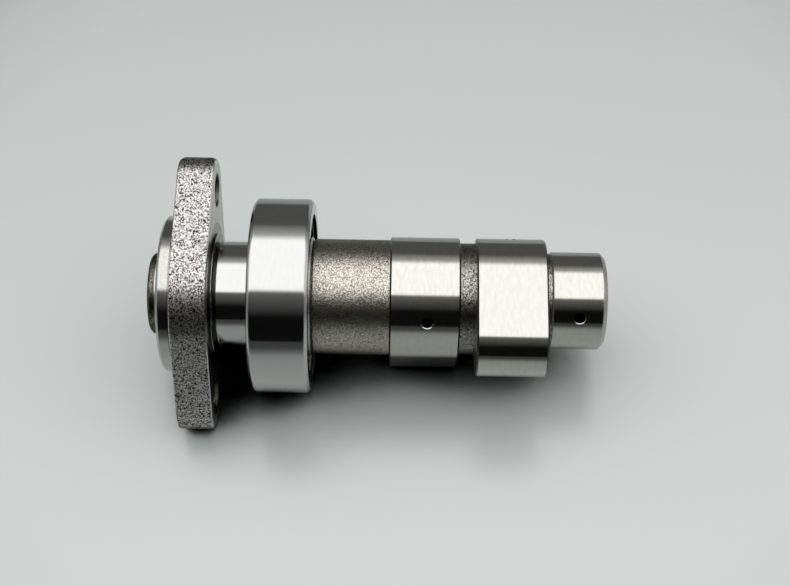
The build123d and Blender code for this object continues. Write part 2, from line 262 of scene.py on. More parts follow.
# %% [markdown]
# ## Turned steel
# End faces, chamfers and the sprocket's register are turned on a lathe. The tool leaves rings, which lie
# round the shaft on a cylinder and in circles on a face. One noise that reads both X and the distance
# from the axis serves every such surface.

# %% The turned finish
def turned_steel(name, colour, roughness, depth):
    """Satin metal with the rings of a lathe tool."""
    material, tree, shader = start_metal(name, colour, roughness)
    along = grain(tree, place_in_mm(tree, (5.0, 0.25, 0.25)), 3.0, 0.6)
    across = grain(tree, radius_in_mm(tree, 6.0, 0.15), 3.0, 0.6)
    specks = grain(tree, place_in_mm(tree, (3.0, 3.0, 3.0)), 3.0, 0.7)
    tree.links.new(range_over(tree, specks, roughness * 0.8, roughness * 1.25), shader.inputs["Roughness"])
    darker = [part * 0.82 for part in colour]
    tint = blend_over(tree, specks, [(0.3, darker), (0.6, colour)])
    tree.links.new(tint, shader.inputs["Base Color"])
    under = relief(tree, shader, along, depth)
    relief(tree, shader, across, depth, under)
    return material


register_steel = turned_steel("turned_register_steel", (0.43, 0.425, 0.40), 0.13, 0.002)
face_steel = turned_steel("turned_face_steel", (0.40, 0.40, 0.38), 0.26, 0.004)
ring_face_steel = turned_steel("ground_ring_face_steel", (0.28, 0.28, 0.27), 0.14, 0.002)
# Painted shade: a near-black turned finish for the lobes' chamfers, the corner and groove between the flange
# and its collar, and the recess walls in the bearing's mouths.
painted_shade_steel = turned_steel("painted_shade_turned_steel", (0.05, 0.048, 0.042), 0.24, 0.004)
seat_steel = turned_steel("satin_seat_steel", (0.48, 0.47, 0.43), 0.24, 0.01)
print("turned finishes:", register_steel.name, face_steel.name)

# %% [markdown]
# ## Blasted iron and the forged edge
# The body and the necks keep their cast skin, cleaned with steel shot. Each hit leaves a tiny dish, and the
# dishes sparkle. The necks and shoulders between the parts get a darker copy of that skin: painted shade.
# The flange's rim is forged and blasted harder: bright crests stand between black pits, with a larger scar
# here and there. Soft noise gives the dishes their relief. Scattered points, each with a grey of its own,
# say which dishes are dark, and the distance to a wider set of points places the scars.

# %% The blasted finish
PIT_TINT = (0.4, 0.4, 0.4)


def scattered(tree, per_mm):
    """Scattered points: the node tells each point's own colour and the distance to the nearest point."""
    cells = tree.nodes.new("ShaderNodeTexVoronoi")
    cells.inputs["Scale"].default_value = 1.0
    tree.links.new(place_in_mm(tree, (per_mm, per_mm, per_mm)), cells.inputs["Vector"])
    return cells.outputs


def multiplied(tree, first, second):
    """One colour times another."""
    mix = tree.nodes.new("ShaderNodeMix")
    mix.data_type = "RGBA"
    mix.blend_type = "MULTIPLY"
    mix.inputs["Factor"].default_value = 1.0
    tree.links.new(first, mix.inputs["A"])
    tree.links.new(second, mix.inputs["B"])
    return mix.outputs["Result"]


def blasted_metal(name, pit, crest, edges, roughness, per_mm, depth, scars=0.0):
    """Shot-blasted metal: fine dark pits between bright crests, and a few large scars."""
    material, tree, shader = start_metal(name, crest, roughness)
    shader.inputs["Specular Tint"].default_value = (*PIT_TINT, 1.0)
    dishes = grain(tree, place_in_mm(tree, (per_mm, per_mm, per_mm)), 2.0, 0.7)
    both = tree.nodes.new("ShaderNodeMix")
    both.inputs["Factor"].default_value = 0.5
    tree.links.new(scattered(tree, per_mm)["Color"], both.inputs["A"])
    tree.links.new(dishes, both.inputs["B"])
    colour = blend_over(tree, both.outputs["Result"], [(edges[0], pit), (edges[1], crest)])
    if scars:
        clear_steps = [(0.10, (0.06, 0.06, 0.06)), (0.22, (1.0, 1.0, 1.0))]
        clear = blend_over(tree, scattered(tree, scars)["Distance"], clear_steps)
        colour = multiplied(tree, colour, clear)
    tree.links.new(colour, shader.inputs["Base Color"])
    relief(tree, shader, dishes, depth)
    return material


cast_skin = blasted_metal(
    "blasted_iron_skin", (0.13, 0.12, 0.095), (0.515, 0.495, 0.435), (0.35, 0.6), 0.26, 5.7, 0.04
)
# Painted shade: a darker copy of the cast skin for the necks and shoulders between the parts.
neck_skin_painted_shade = blasted_metal(
    "blasted_neck_skin_painted_shade", (0.03, 0.028, 0.022), (0.37, 0.36, 0.315), (0.37, 0.6), 0.24, 5.7, 0.04
)
# The nose's skin is rough and unmachined. Its dark base is partly painted shade, dimming the light from the
# end.
nose_skin_with_painted_shade = blasted_metal(
    "rough_nose_skin_painted_shade", (0.02, 0.02, 0.016), (0.18, 0.175, 0.14), (0.36, 0.62), 0.26, 4.6, 0.04
)
forged_rim = blasted_metal(
    "blasted_forged_rim", (0.006, 0.006, 0.005), (0.61, 0.585, 0.57), (0.455, 0.53), 0.32, 5.9, 0.022, 0.55
)
print("blasted finishes:", cast_skin.name, nose_skin_with_painted_shade.name, forged_rim.name)

# %% [markdown]
# ## Small hidden finishes
# The balls are polished to a mirror, the cage is pressed from brushed sheet, the plug is plain bright steel,
# and the cage and the drilled holes are made dark: painted shade inside the bearing and the holes. They show
# little, but someone who turns the part round will see them.

# %% Finishes of the small pieces
ball_steel = ground_steel("mirror_ball_steel", (0.72, 0.72, 0.71), 0.06, 0.0006, 0.02)
# Painted shade: the cage and the drilled holes are darkened to stand for the shade inside them.
cage_steel_painted_shade = turned_steel("pressed_cage_steel_painted_shade", (0.20, 0.19, 0.17), 0.26, 0.008)
plug_steel = turned_steel("pressed_plug_steel", (0.55, 0.54, 0.51), 0.26, 0.008)
drilled_painted_shade = turned_steel("drilled_steel_painted_shade", (0.15, 0.138, 0.115), 0.28, 0.02)
for name, node in nodes.items():
    if name.startswith("bearing_ball"):
        node.data.materials[0] = ball_steel
    elif name.startswith("cage"):
        node.data.materials[0] = cage_steel_painted_shade
    elif name == "oil_gallery_plug":
        node.data.materials[0] = plug_steel
print("CAD pieces kept:", [name for name in nodes if name.startswith(("bearing_ball", "cage", "oil"))])

# %% [markdown]
# ## A skin stretched over rings
# All the big pieces are nearly round, so each can be built as a row of rings round the shaft with a skin
# between them. A spin of a drawn outline would give round parts only. Here a ring's reach may also be a
# function of the roll angle, so the same helper makes the egg-shaped lobes and the oval flange.

# %% Rings and the skin between them
SIDES = 300


def ring_points(x, reach, sides):
    """One ring round the X axis. Its reach is a radius in mm, or a function of the roll in radians."""
    points = []
    for step in range(sides):
        roll = 2 * math.pi * step / sides
        radius = reach(roll) if callable(reach) else reach
        points.append(Vector((x, radius * math.cos(roll), radius * math.sin(roll))) * MM)
    return points


def skin_over(name, stations, closed=False, sides=SIDES, place=None):
    """A piece stretched over stations of (x, reach, finish). A finish covers the band after its station."""
    points = []
    faces = []
    finishes = []
    for x, reach, finish in stations:
        points += ring_points(x, reach, sides)
    count = len(stations)
    for band in range(count if closed else count - 1):
        here = band * sides
        there = (band + 1) % count * sides
        for step in range(sides):
            ahead = (step + 1) % sides
            faces.append((here + step, here + ahead, there + ahead, there + step))
            finishes.append(stations[band][2])
    if not closed:
        faces.append(tuple(reversed(range(sides))))
        finishes.append(stations[0][2])
        faces.append(tuple(range((count - 1) * sides, count * sides)))
        finishes.append(stations[-1][2])
    if place is not None:
        points = [place @ point for point in points]
    mesh = bpy.data.meshes.new(name)
    mesh.from_pydata(points, [], faces)
    used = list(dict.fromkeys(finishes))
    for finish in used:
        mesh.materials.append(finish)
    for polygon, finish in zip(mesh.polygons, finishes):
        polygon.material_index = used.index(finish)
    piece = bpy.data.objects.new(name, mesh)
    bpy.context.scene.collection.objects.link(piece)
    return piece


print("points in one ring:", len(ring_points(0, BORE_RADIUS, SIDES)))

# %% [markdown]
# ## Eased corners
# No machined corner is knife sharp. A tiny arc at each one catches the light as a thin bright line, and that
# line tells the eye that the part is metal. A bevel modifier could do it, but it stumbles where holes cut
# the skin. Easing the drawn outline first is exact and never fails.

# %% Round the corners of an outline
ARC_STEPS = 4


def eased(outline):
    """Turns (x, radius, easing, finish) corners into stations, with a small arc at each eased corner."""
    stations = []
    count = len(outline)
    for index, (x, radius, easing, finish) in enumerate(outline):
        if easing == 0:
            stations.append((x, radius, finish))
            continue
        here = Vector((x, radius))
        before = (Vector(outline[index - 1][:2]) - here).normalized()
        after = (Vector(outline[(index + 1) % count][:2]) - here).normalized()
        half = before.angle(after) / 2
        centre = here + (before + after).normalized() * easing / math.sin(half)
        start = here + before * easing / math.tan(half) - centre
        end = here + after * easing / math.tan(half) - centre
        for step in range(ARC_STEPS + 1):
            point = centre + start.lerp(end, step / ARC_STEPS).normalized() * easing
            stations.append((point.x, point.y, finish))
    return stations


print("points in one eased corner:", ARC_STEPS + 1)

# %% [markdown]
# ## Holes and true shading
# A hole is cut with a boolean: the drill is a solid of its own, and what it fills is taken away. After the
# cuts each mesh gets its shading settled. Edges that turn by more than 30 degrees stay sharp, and weighted
# normals let the large faces decide, so a polished cylinder mirrors cleanly right up to its edges.

# %% Cut with a drill, and settle the shading
SHARP_TURN = math.radians(30)
LARGE_FACE_WEIGHT = 80


def apply_last(piece):
    """Applies the piece's newest modifier."""
    bpy.context.view_layer.objects.active = piece
    bpy.ops.object.modifier_apply(modifier=piece.modifiers[-1].name)


def cut_out(piece, drill):
    """Takes the drill's solid out of the piece. The hole keeps the drill's finish."""
    step = piece.modifiers.new("cut", "BOOLEAN")
    step.operation = "DIFFERENCE"
    step.solver = "EXACT"
    step.material_mode = "TRANSFER"
    step.object = drill
    apply_last(piece)
    bpy.data.objects.remove(drill)


def settle_shading(piece):
    """Smooth faces, sharp corners, and normals that follow the large faces."""
    piece.data.shade_smooth()
    piece.data.set_sharp_from_angle(angle=SHARP_TURN)
    step = piece.modifiers.new("weighted", "WEIGHTED_NORMAL")
    step.keep_sharp = True
    step.weight = LARGE_FACE_WEIGHT
    apply_last(piece)
    faces = len(piece.data.polygons)
    print(piece.name, "has", faces, "faces and", len(piece.data.materials), "finishes")


print("an edge stays sharp above", round(math.degrees(SHARP_TURN)), "degrees")

# %% [markdown]
# ## Egg shapes: a belt round two circles
# A lobe's outline is a large base circle and a small nose circle with a tight belt round both. The flange's
# outline is the same belt on both sides: a centre circle and two ears. One function gives the distance from
# the shaft's axis to that belt, in any direction. An inset makes both circles smaller, for the chamfers.

# %% How far a belt lies from the centre
def belt_reach(turn, large, small, offset):
    """Distance to a belt round a large circle at the centre and a small one at an offset, towards a turn."""
    turn = abs(math.remainder(turn, 2 * math.pi))
    leaves = math.acos((large - small) / offset)
    meets = math.atan2(small * math.sin(leaves), offset + small * math.cos(leaves))
    if turn >= leaves:
        return large
    if turn > meets:
        return large / math.cos(leaves - turn)
    return offset * math.cos(turn) + math.sqrt(small**2 - (offset * math.sin(turn)) ** 2)


def lobe_reach(nose_roll, inset=0.0):
    """The reach of a lobe whose nose points to a roll in degrees."""
    nose = math.radians(nose_roll)
    return lambda roll: belt_reach(roll - nose, LOBE_BASE - inset, LOBE_NOSE - inset, LOBE_OFFSET)


upright_lobe = lobe_reach(0.0)
print("lobe: base", upright_lobe(math.pi), "mm, tip", upright_lobe(0.0), "mm")

# %% [markdown]
# ## The camshaft
# The shaft is one casting, so it is one piece. Its outline starts in the small centre hole of the nose, runs
# along the outside through the bearing seat, body and lobes to the journal, and comes back through the oil
# gallery that is drilled from the right end. Each stretch names its finish: cast skin, ground or turned.

# %% Sizes along the camshaft
NOSE_RADIUS = 8.3
NOSE_CHAMFER = 0.5
CENTRE_HOLE_RADIUS = 1.0
CENTRE_HOLE_MOUTH = 2.6
CENTRE_HOLE_DEPTH = 4.0
THRUST_RADIUS = 10.6
SHOULDER_CHAMFER = 0.3
PLUG_RADIUS = 3.5
PLUG_DEPTH = 4.2
GALLERY_RADIUS = 2.5
AXIS_GAP = 0.05
LOBE_1_OIL_PLACE = 7.6
LOBE_2_OIL_PLACE = 7.15
JOURNAL_OIL_PLACE = 5.6

plug_left = journal_right - PLUG_DEPTH
gallery_left = lobe_1_left + LOBE_1_OIL_PLACE - 4.0
print("oil gallery from", round(gallery_left, 2), "to", round(plug_left, 2), "mm")


# %% Stations of the camshaft
def lobe_stations(left, right, nose_roll):
    """A lobe: its end faces, its fine chamfers with painted shade on them, and the ground face between them.
    """
    return [
        (left, lobe_reach(nose_roll, LOBE_CHAMFER), painted_shade_steel),
        (left + LOBE_CHAMFER, lobe_reach(nose_roll), lobe_steel),
        (right - LOBE_CHAMFER, lobe_reach(nose_roll), painted_shade_steel),
        (right, lobe_reach(nose_roll, LOBE_CHAMFER), face_steel),
    ]


shaft_stations = eased([
    (nose_left + CENTRE_HOLE_DEPTH, AXIS_GAP, 0, drilled_painted_shade),
    (nose_left + CENTRE_HOLE_DEPTH, CENTRE_HOLE_RADIUS, 0, drilled_painted_shade),
    (nose_left + CENTRE_HOLE_MOUTH - CENTRE_HOLE_RADIUS, CENTRE_HOLE_RADIUS, 0, drilled_painted_shade),
    (nose_left, CENTRE_HOLE_MOUTH, 0.1, nose_skin_with_painted_shade),
    (nose_left, NOSE_RADIUS - NOSE_CHAMFER, 0.12, nose_skin_with_painted_shade),
    (nose_left + NOSE_CHAMFER, NOSE_RADIUS, 0.12, nose_skin_with_painted_shade),
    (seat_left, NOSE_RADIUS, 0, seat_steel),
    (seat_left, BORE_RADIUS, 0.05, seat_steel),
    (BEARING_HALF, BORE_RADIUS, 0, face_steel),
    (BEARING_HALF, THRUST_RADIUS, 0, neck_skin_painted_shade),
    (shoulder_left, THRUST_RADIUS, 0, neck_skin_painted_shade),
    (shoulder_left, BODY_RADIUS - SHOULDER_CHAMFER, 0.1, cast_skin),
    (shoulder_left + SHOULDER_CHAMFER, BODY_RADIUS, 0.2, cast_skin),
    (lobe_1_left, BODY_RADIUS, 0, face_steel),
])
shaft_stations += lobe_stations(lobe_1_left, lobe_1_right, LOBE_1_ROLL)
shaft_stations += [
    (lobe_1_right, NECK_RADIUS, neck_skin_painted_shade),
    (lobe_2_left, NECK_RADIUS, face_steel),
]
shaft_stations += lobe_stations(lobe_2_left, lobe_2_right, LOBE_2_ROLL)
shaft_stations += eased([
    (lobe_2_right, END_NECK_RADIUS, 0, neck_skin_painted_shade),
    (journal_left, END_NECK_RADIUS, 0, face_steel),
    (journal_left, JOURNAL_RADIUS - 0.35, 0.05, face_steel),
    (journal_left + 0.35, JOURNAL_RADIUS, 0.08, journal_steel),
    (journal_right - 0.9, JOURNAL_RADIUS, 0.3, face_steel),
    (journal_right, JOURNAL_RADIUS - 0.9, 0.15, face_steel),
    (journal_right, 4.1, 0.08, drilled_painted_shade),
    (journal_right - 0.6, PLUG_RADIUS, 0.08, drilled_painted_shade),
    (plug_left, PLUG_RADIUS, 0, drilled_painted_shade),
    (plug_left, GALLERY_RADIUS, 0, drilled_painted_shade),
    (gallery_left, GALLERY_RADIUS, 0, drilled_painted_shade),
    (gallery_left - 1.5, AXIS_GAP, 0, drilled_painted_shade),
])
camshaft = skin_over("camshaft_casting", shaft_stations)
print("camshaft stations:", len(shaft_stations))

# %% [markdown]
# ## Oil holes
# Three cross holes bring oil from the gallery to the lobes and the journal. Each drill starts at the shaft's
# axis, widens to a fine countersink at the surface, and goes on past it so that the cut is clean.

# %% Drill the oil holes
OIL_RADIUS = 1.1
OIL_SINK_RADIUS = 1.27
OIL_SINK_DEPTH = 0.2
PAST_SURFACE = 2.0


def oil_drill(x, roll, surface):
    """A drill from the axis out through a surface radius, with its countersink."""
    stations = [
        (0.3, OIL_RADIUS, drilled_painted_shade),
        (surface - OIL_SINK_DEPTH, OIL_RADIUS, journal_steel),
        (surface, OIL_SINK_RADIUS, journal_steel),
        (surface + PAST_SURFACE, OIL_SINK_RADIUS, journal_steel),
    ]
    turn = Matrix.Rotation(math.radians(roll), 4, "X") @ Matrix.Rotation(math.radians(90), 4, "Z")
    return skin_over("oil_drill", stations, sides=64, place=Matrix.Translation((x * MM, 0, 0)) @ turn)


cut_out(camshaft, oil_drill(lobe_1_left + LOBE_1_OIL_PLACE, LOBE_1_OIL_ROLL, LOBE_BASE))
cut_out(camshaft, oil_drill(lobe_2_left + LOBE_2_OIL_PLACE, LOBE_2_OIL_ROLL, LOBE_BASE))
cut_out(camshaft, oil_drill(journal_left + JOURNAL_OIL_PLACE, JOURNAL_OIL_ROLL, JOURNAL_RADIUS))
settle_shading(camshaft)
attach(camshaft, "camshaft")
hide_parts("camshaft")

# %% [markdown]
# ## The sprocket flange
# The flange is pressed on beside the bearing. Its oval plate has two ears with threaded holes for the
# sprocket's bolts, its boss centres the sprocket, and its collar reaches to the bearing. The ears' tips are
# rounded as well: near each face the plate never reaches past a slightly smaller round blank.

# %% The flange's oval outline
PLATE_RADIUS = 16.9
PLATE_CHAMFER = 0.2
EAR_RADIUS = 6.65
EAR_OFFSET = 21.5
TIP_RADIUS = 28.15
TIP_ROUNDING = 1.2


def flange_reach(depth):
    """The reach of the plate at a depth below its face: the oval, its fine chamfer and the rounded tips."""
    inset = max(0.0, PLATE_CHAMFER - depth)
    rise = min(depth, TIP_ROUNDING)
    blank = TIP_RADIUS - TIP_ROUNDING + math.sqrt(TIP_ROUNDING**2 - (TIP_ROUNDING - rise) ** 2)
    long_axis = math.radians(FLANGE_ROLL)

    def reach(roll):
        turn = abs(math.remainder(roll - long_axis, math.pi))
        return min(belt_reach(turn, PLATE_RADIUS - inset, EAR_RADIUS - inset, EAR_OFFSET), blank)

    return reach


rim_depths = [0.0, 0.07, 0.14, 0.2, 0.3, 0.42, 0.56, 0.72, 0.9, 1.2]
print("half length of the plate:", round(flange_reach(3.0)(math.radians(FLANGE_ROLL)), 2), "mm")

# %% Stations of the flange
REGISTER_CHAMFER = 0.55
RELIEF_WIDTH = 0.3
RELIEF_DEPTH = 0.35
FACE_RELIEF = 0.2
HUB_FACE_WIDTH = 2.2
COLLAR_GROOVE_WIDTH = 0.5
COLLAR_GROOVE_DEPTH = 0.45
LEFT_BRIGHT_EDGE = 0.14
RIGHT_BRIGHT_EDGE = 0.21

flange_stations = eased([
    (register_left, BORE_RADIUS, 0, register_steel),
    (register_left, REGISTER_RADIUS - REGISTER_CHAMFER, 0.12, register_steel),
    (register_left + REGISTER_CHAMFER, REGISTER_RADIUS, 0.15, register_steel),
    (flange_left - RELIEF_WIDTH, REGISTER_RADIUS, 0.05, register_steel),
    (flange_left - RELIEF_WIDTH, REGISTER_RADIUS - RELIEF_DEPTH, 0, register_steel),
    (flange_left + FACE_RELIEF, REGISTER_RADIUS - RELIEF_DEPTH, 0, register_steel),
    (flange_left + FACE_RELIEF, REGISTER_RADIUS + RELIEF_WIDTH, 0, face_steel),
    (flange_left, REGISTER_RADIUS + RELIEF_WIDTH, 0, face_steel),
])
for depth in rim_depths:
    finish = register_steel if depth < LEFT_BRIGHT_EDGE else forged_rim
    flange_stations.append((flange_left + depth, flange_reach(depth), finish))
for depth in reversed(rim_depths):
    finish = register_steel if depth < RIGHT_BRIGHT_EDGE else forged_rim
    flange_stations.append((flange_right - depth, flange_reach(depth), finish))
flange_stations[-1] = (flange_right, flange_reach(0.0), face_steel)
# The flange's face by the hub, the hub ring and the collar's groove take the painted shade.
flange_stations += eased([
    (flange_right, HUB_RING_RADIUS + HUB_FACE_WIDTH, 0, painted_shade_steel),
    (flange_right, HUB_RING_RADIUS, 0, painted_shade_steel),
    (collar_left - 0.25, HUB_RING_RADIUS, 0.08, polished_steel),
    (collar_left, HUB_RING_RADIUS - 0.25, 0.08, painted_shade_steel),
    (collar_left, COLLAR_RADIUS - COLLAR_GROOVE_DEPTH, 0, painted_shade_steel),
    (collar_left + COLLAR_GROOVE_WIDTH, COLLAR_RADIUS - COLLAR_GROOVE_DEPTH, 0, painted_shade_steel),
    (collar_left + COLLAR_GROOVE_WIDTH, COLLAR_RADIUS, 0.06, polished_steel),
    (-BEARING_HALF - 0.3, COLLAR_RADIUS, 0.1, polished_steel),
    (-BEARING_HALF, COLLAR_RADIUS - 0.3, 0.05, face_steel),
    (-BEARING_HALF, BORE_RADIUS, 0, drilled_painted_shade),
])
flange = skin_over("sprocket_flange_hub", flange_stations, closed=True)
print("flange stations:", len(flange_stations))

# %% [markdown]
# ## Threads in the ears
# The sprocket is held by two M7 bolts. A drill with a helical ridge cuts the thread: the ridge climbs one
# pitch in each turn, so its height depends on the place along the hole minus the share of a turn made. At
# both faces a countersink leads the bolt in.

# %% Cut the threaded holes
CORE = 3.05
CREST = 3.5
PITCH = 1.0
SINK = 0.6
TAP_STEP = 0.1
TAP_OVERRUN = 0.2


def tap(y, z):
    """A tap through the plate: a threaded drill with a countersink at each end."""
    stations = []
    x = flange_left - TAP_OVERRUN
    while x < flange_right + TAP_OVERRUN + TAP_STEP / 10:
        depth = min(x - flange_left, flange_right - x)
        sink = CORE + SINK - depth

        def reach(roll, x=x, sink=sink):
            wave = abs(2 * ((x / PITCH - roll / (2 * math.pi)) % 1.0) - 1)
            ridge = min(1.0, max(0.0, 1.25 * wave - 0.1))
            return max(CORE + (CREST - CORE) * ridge, sink)

        stations.append((x, reach, drilled_painted_shade))
        x += TAP_STEP
    return skin_over("tap", stations, sides=72, place=Matrix.Translation((0, y * MM, z * MM)))


for side in (-1, 1):
    long_axis = math.radians(FLANGE_ROLL)
    cut_out(flange, tap(side * EAR_OFFSET * math.cos(long_axis), side * EAR_OFFSET * math.sin(long_axis)))
settle_shading(flange)
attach(flange, "camshaft")
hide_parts("sprocket_flange")

# %% [markdown]
# ## The bearing's rings
# Each ring is a turned outline with a deep round groove for the balls. Each corner of the outer ring is two
# small eased corners with a narrow slope between them, and they bend the room's reflection into the bright
# lines at both edges. The grooves are a little wider than the balls, so that the balls roll freely.

# %% Grooves and rings
BALL_RADIUS = 3.3735
PITCH_RADIUS = 14.25
GROOVE_RADIUS = BALL_RADIUS * 1.04
BALL_GAP = 0.02
RACE_STEPS = 24
OUTER_LAND = 16.4
LAND_STEP = 0.5
LAND_EDGE = 5.25
INNER_SHOULDER = 12.25
CORNER_DEPTH = 0.75
SLOPE_START = 0.6
SLOPE_END = 1.0
SLOPE_DEPTH = 0.12


def raceway(edge_radius, centre_radius, side, heading):
    """Corners of a ball groove. The side is 1 for a groove cut outwards, -1 for one cut inwards."""
    half = math.acos(side * (edge_radius - centre_radius) / GROOVE_RADIUS)
    corners = []
    for step in range(RACE_STEPS + 1):
        turn = half * (2 * step / RACE_STEPS - 1) * heading
        radius = centre_radius + side * GROOVE_RADIUS * math.cos(turn)
        corners.append((GROOVE_RADIUS * math.sin(turn), radius, 0, ball_steel))
    return corners


outer_centre = PITCH_RADIUS + BALL_RADIUS + BALL_GAP - GROOVE_RADIUS
# The recess walls in the outer ring's mouths take the painted shade.
outer_outline = [
    (-LAND_EDGE, OUTER_LAND + LAND_STEP, 0, painted_shade_steel),
    (-BEARING_HALF, OUTER_LAND + LAND_STEP, 0.12, ring_face_steel),
    (-BEARING_HALF, BEARING_RADIUS - CORNER_DEPTH, 0.3, polished_steel),
    (-BEARING_HALF + SLOPE_START, BEARING_RADIUS - SLOPE_DEPTH, 0.45, polished_steel),
    (-BEARING_HALF + SLOPE_END, BEARING_RADIUS, 0, polished_steel),
    (BEARING_HALF - SLOPE_END, BEARING_RADIUS, 0, polished_steel),
    (BEARING_HALF - SLOPE_START, BEARING_RADIUS - SLOPE_DEPTH, 0.45, polished_steel),
    (BEARING_HALF, BEARING_RADIUS - CORNER_DEPTH, 0.3, ring_face_steel),
    (BEARING_HALF, OUTER_LAND + LAND_STEP, 0.12, painted_shade_steel),
    (LAND_EDGE, OUTER_LAND + LAND_STEP, 0, painted_shade_steel),
    (LAND_EDGE, OUTER_LAND, 0.1, polished_steel),
]
outer_outline += raceway(OUTER_LAND, outer_centre, 1, -1)
outer_outline += [(-LAND_EDGE, OUTER_LAND, 0.1, face_steel)]
outer_ring = skin_over("bearing_outer_race", eased(outer_outline), closed=True)
settle_shading(outer_ring)
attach(outer_ring, "outer_ring")
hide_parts("bearing_outer_ring")

inner_centre = PITCH_RADIUS - BALL_RADIUS - BALL_GAP + GROOVE_RADIUS
inner_outline = [
    (-BEARING_HALF, 9.5, 0, face_steel),
    (-BEARING_HALF, INNER_SHOULDER - 0.3, 0.1, face_steel),
    (-BEARING_HALF + 0.3, INNER_SHOULDER, 0.1, polished_steel),
]
inner_outline += raceway(INNER_SHOULDER, inner_centre, -1, 1)
inner_outline += [
    (BEARING_HALF - 0.3, INNER_SHOULDER, 0.1, face_steel),
    (BEARING_HALF, INNER_SHOULDER - 0.3, 0.1, face_steel),
    (BEARING_HALF, BORE_RADIUS, 0.7, face_steel),
    (-BEARING_HALF, BORE_RADIUS, 0.7, face_steel),
]
inner_ring = skin_over("bearing_inner_race", eased(inner_outline), closed=True)
settle_shading(inner_ring)
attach(inner_ring, "camshaft")
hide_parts("bearing_inner_ring")
print("groove centres:", round(outer_centre, 3), round(inner_centre, 3), "mm")

# %% [markdown]
# ## The table
# The part lies on a wide pale table. The table is hardly tilted against the shaft, just as the part comes to
# rest on it: on the bearing's edge, one ear and the first lobe's nose. It is large, so that every view from
# above sees table behind the part. A studio lights the middle of its table and lets the rest fall away into
# the dark, which keeps the steel's mirror clear. Here that fall of light is painted: the paint deepens with
# the distance from the part, a painted pool of light. Close under the part little light gets in, and a
# painted
# shadow stands for it: ambient occlusion, which measures how open a place is, deepens the paint and its
# gloss.

# %% Lay the table
TABLE_POINT = Vector((5.05, -1.221, -19.963)) * MM
TABLE_NORMAL = Vector((-0.03687, 0.0610, 0.99746)).normalized()
TABLE_HALF = 9.0

table_mesh = bpy.data.meshes.new("table")
across = TABLE_NORMAL.orthogonal().normalized()
onward = TABLE_NORMAL.cross(across)
corners = []
for u, v in ((-1, -1), (1, -1), (1, 1), (-1, 1)):
    corners.append(TABLE_POINT + (across * u + onward * v) * TABLE_HALF)
table_mesh.from_pydata(corners, [], [(0, 1, 2, 3)])
table = bpy.data.objects.new("table", table_mesh)
bpy.context.scene.collection.objects.link(table)
print("table half size:", TABLE_HALF, "m")

# %% A painted pool of light: the paint deepens with the distance
LIGHT_POOL_CENTRE = (0.024, 0.028, -0.02)
LIGHT_POOL_REACH = 0.3

paint = bpy.data.materials.new("pale_table_painted_light_and_shadow")
paint.use_nodes = True
paint_tree = paint.node_tree
paint_shader = paint_tree.nodes["Principled BSDF"]
paint_shader.inputs["Roughness"].default_value = 0.3
paint_shader.inputs["IOR"].default_value = 1.9
table_place = paint_tree.nodes.new("ShaderNodeTexCoord")
table_offset = paint_tree.nodes.new("ShaderNodeVectorMath")
table_offset.operation = "SUBTRACT"
table_offset.inputs[1].default_value = LIGHT_POOL_CENTRE
paint_tree.links.new(table_place.outputs["Object"], table_offset.inputs[0])
table_reach = paint_tree.nodes.new("ShaderNodeVectorMath")
table_reach.operation = "LENGTH"
paint_tree.links.new(table_offset.outputs["Vector"], table_reach.inputs[0])
light_pool_falloff = paint_tree.nodes.new("ShaderNodeMapRange")
light_pool_falloff.inputs["From Min"].default_value = 0.0
light_pool_falloff.inputs["From Max"].default_value = LIGHT_POOL_REACH
paint_tree.links.new(table_reach.outputs["Value"], light_pool_falloff.inputs["Value"])
light_pool_steps = [
    (0.0, (0.455, 0.482, 0.475)),
    (0.34, (0.44, 0.466, 0.46)),
    (0.42, (0.40, 0.424, 0.418)),
    (0.52, (0.24, 0.254, 0.251)),
    (0.7, (0.13, 0.138, 0.135)),
    (1.0, (0.09, 0.095, 0.094)),
]
painted_light_pool = blend_over(paint_tree, light_pool_falloff.outputs["Result"], light_pool_steps)
print("the paint is deepest", LIGHT_POOL_REACH, "m from its centre")

# %% A painted contact shadow close under the part
PAINTED_SHADOW_DISTANCE = 0.02
PAINT_GLOSS = 0.5

nearness = paint_tree.nodes.new("ShaderNodeAmbientOcclusion")
nearness.samples = 32
nearness.inputs["Distance"].default_value = PAINTED_SHADOW_DISTANCE
painted_shadow_steps = [
    (0.31, (0.0, 0.0, 0.0)),
    (0.42, (0.3, 0.3, 0.3)),
    (0.52, (0.92, 0.92, 0.92)),
    (0.65, (1.0, 1.0, 1.0)),
]
# The painted shadow darkens the table's colour and takes away its gloss close under the part.
painted_shadow = blend_over(paint_tree, nearness.outputs["AO"], painted_shadow_steps)
paint_colour = multiplied(paint_tree, painted_light_pool, painted_shadow)
gloss_under_painted_shadow = paint_tree.nodes.new("ShaderNodeMath")
gloss_under_painted_shadow.operation = "MULTIPLY"
gloss_under_painted_shadow.inputs[1].default_value = PAINT_GLOSS
paint_tree.links.new(painted_shadow, gloss_under_painted_shadow.inputs[0])
paint_tree.links.new(gloss_under_painted_shadow.outputs["Value"], paint_shader.inputs["Specular IOR Level"])
paint_tree.links.new(paint_colour, paint_shader.inputs["Base Color"])
table_mesh.materials.append(paint)
print("the paint deepens within", PAINTED_SHADOW_DISTANCE, "m of the part")

# %% [markdown]
# ## The room that the metal mirrors
# Metal has no colour of its own to speak of: it shows the room. A studio for shiny parts has one long soft
# light overhead, dark cloth in front and a dim wall behind, so the steel gets a broad white band between
# dark ones. Lamps with real shapes could make it. A world that changes with the height angle is simpler and
# has no noise: it reads the direction, works out the angle up from the front, and a ramp gives the light
# there. Each tone below is one thing in that studio, and the lamp runs from one angle to the other.

